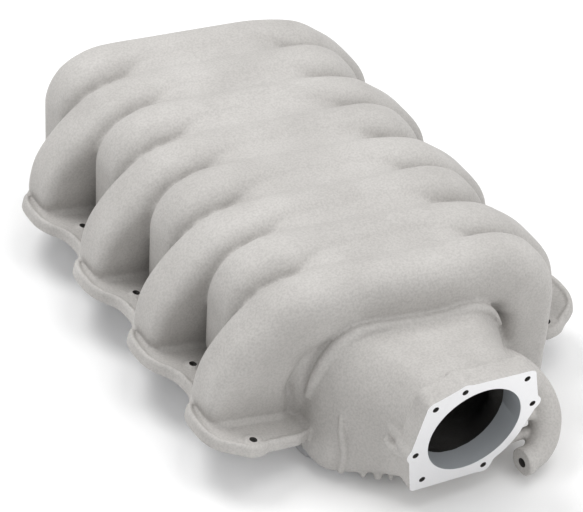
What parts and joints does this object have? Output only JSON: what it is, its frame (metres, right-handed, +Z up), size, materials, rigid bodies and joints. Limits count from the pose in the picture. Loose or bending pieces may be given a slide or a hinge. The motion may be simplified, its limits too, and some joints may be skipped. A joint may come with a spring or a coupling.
{
  "type": "intake manifold",
  "caption": "Cast intake manifold with crossing runners over a closed plenum, port flanges on both sides and a square throttle flange at the front.",
  "frame": {"origin": "on the underside of the plenum floor, on the centre plane between the cylinder banks, midway along the manifold", "axes": "+X to the right when looking at the throttle opening, +Y from the throttle opening towards the rear, +Z up"},
  "size_m": [0.4, 0.5779, 0.171],
  "materials": {
    "cast_aluminium": "as-cast, fine sand grain, machined at the sealing faces",
    "plate_aluminium": "milled, satin",
    "gasket_fibre": "matte compressed fibre",
    "zinc_steel": "zinc plated, satin",
    "seal_rubber": "moulded, matte"
  },
  "bodies": {
    "root": {"manifold_casting": "cast_aluminium", "plenum_floor": "plate_aluminium", "floor_gasket": "gasket_fibre", "floor_screw_01": "zinc_steel", "floor_screw_02": "zinc_steel", "floor_screw_03": "zinc_steel", "floor_screw_04": "zinc_steel", "floor_screw_05": "zinc_steel", "floor_screw_06": "zinc_steel", "floor_screw_07": "zinc_steel", "floor_screw_08": "zinc_steel", "floor_screw_09": "zinc_steel", "floor_screw_10": "zinc_steel", "floor_screw_11": "zinc_steel", "floor_screw_12": "zinc_steel", "left_port_seal_1": "seal_rubber", "left_port_seal_2": "seal_rubber", "left_port_seal_3": "seal_rubber", "left_port_seal_4": "seal_rubber", "right_port_seal_1": "seal_rubber", "right_port_seal_2": "seal_rubber", "right_port_seal_3": "seal_rubber", "right_port_seal_4": "seal_rubber"}
  },
  "joints": []
}
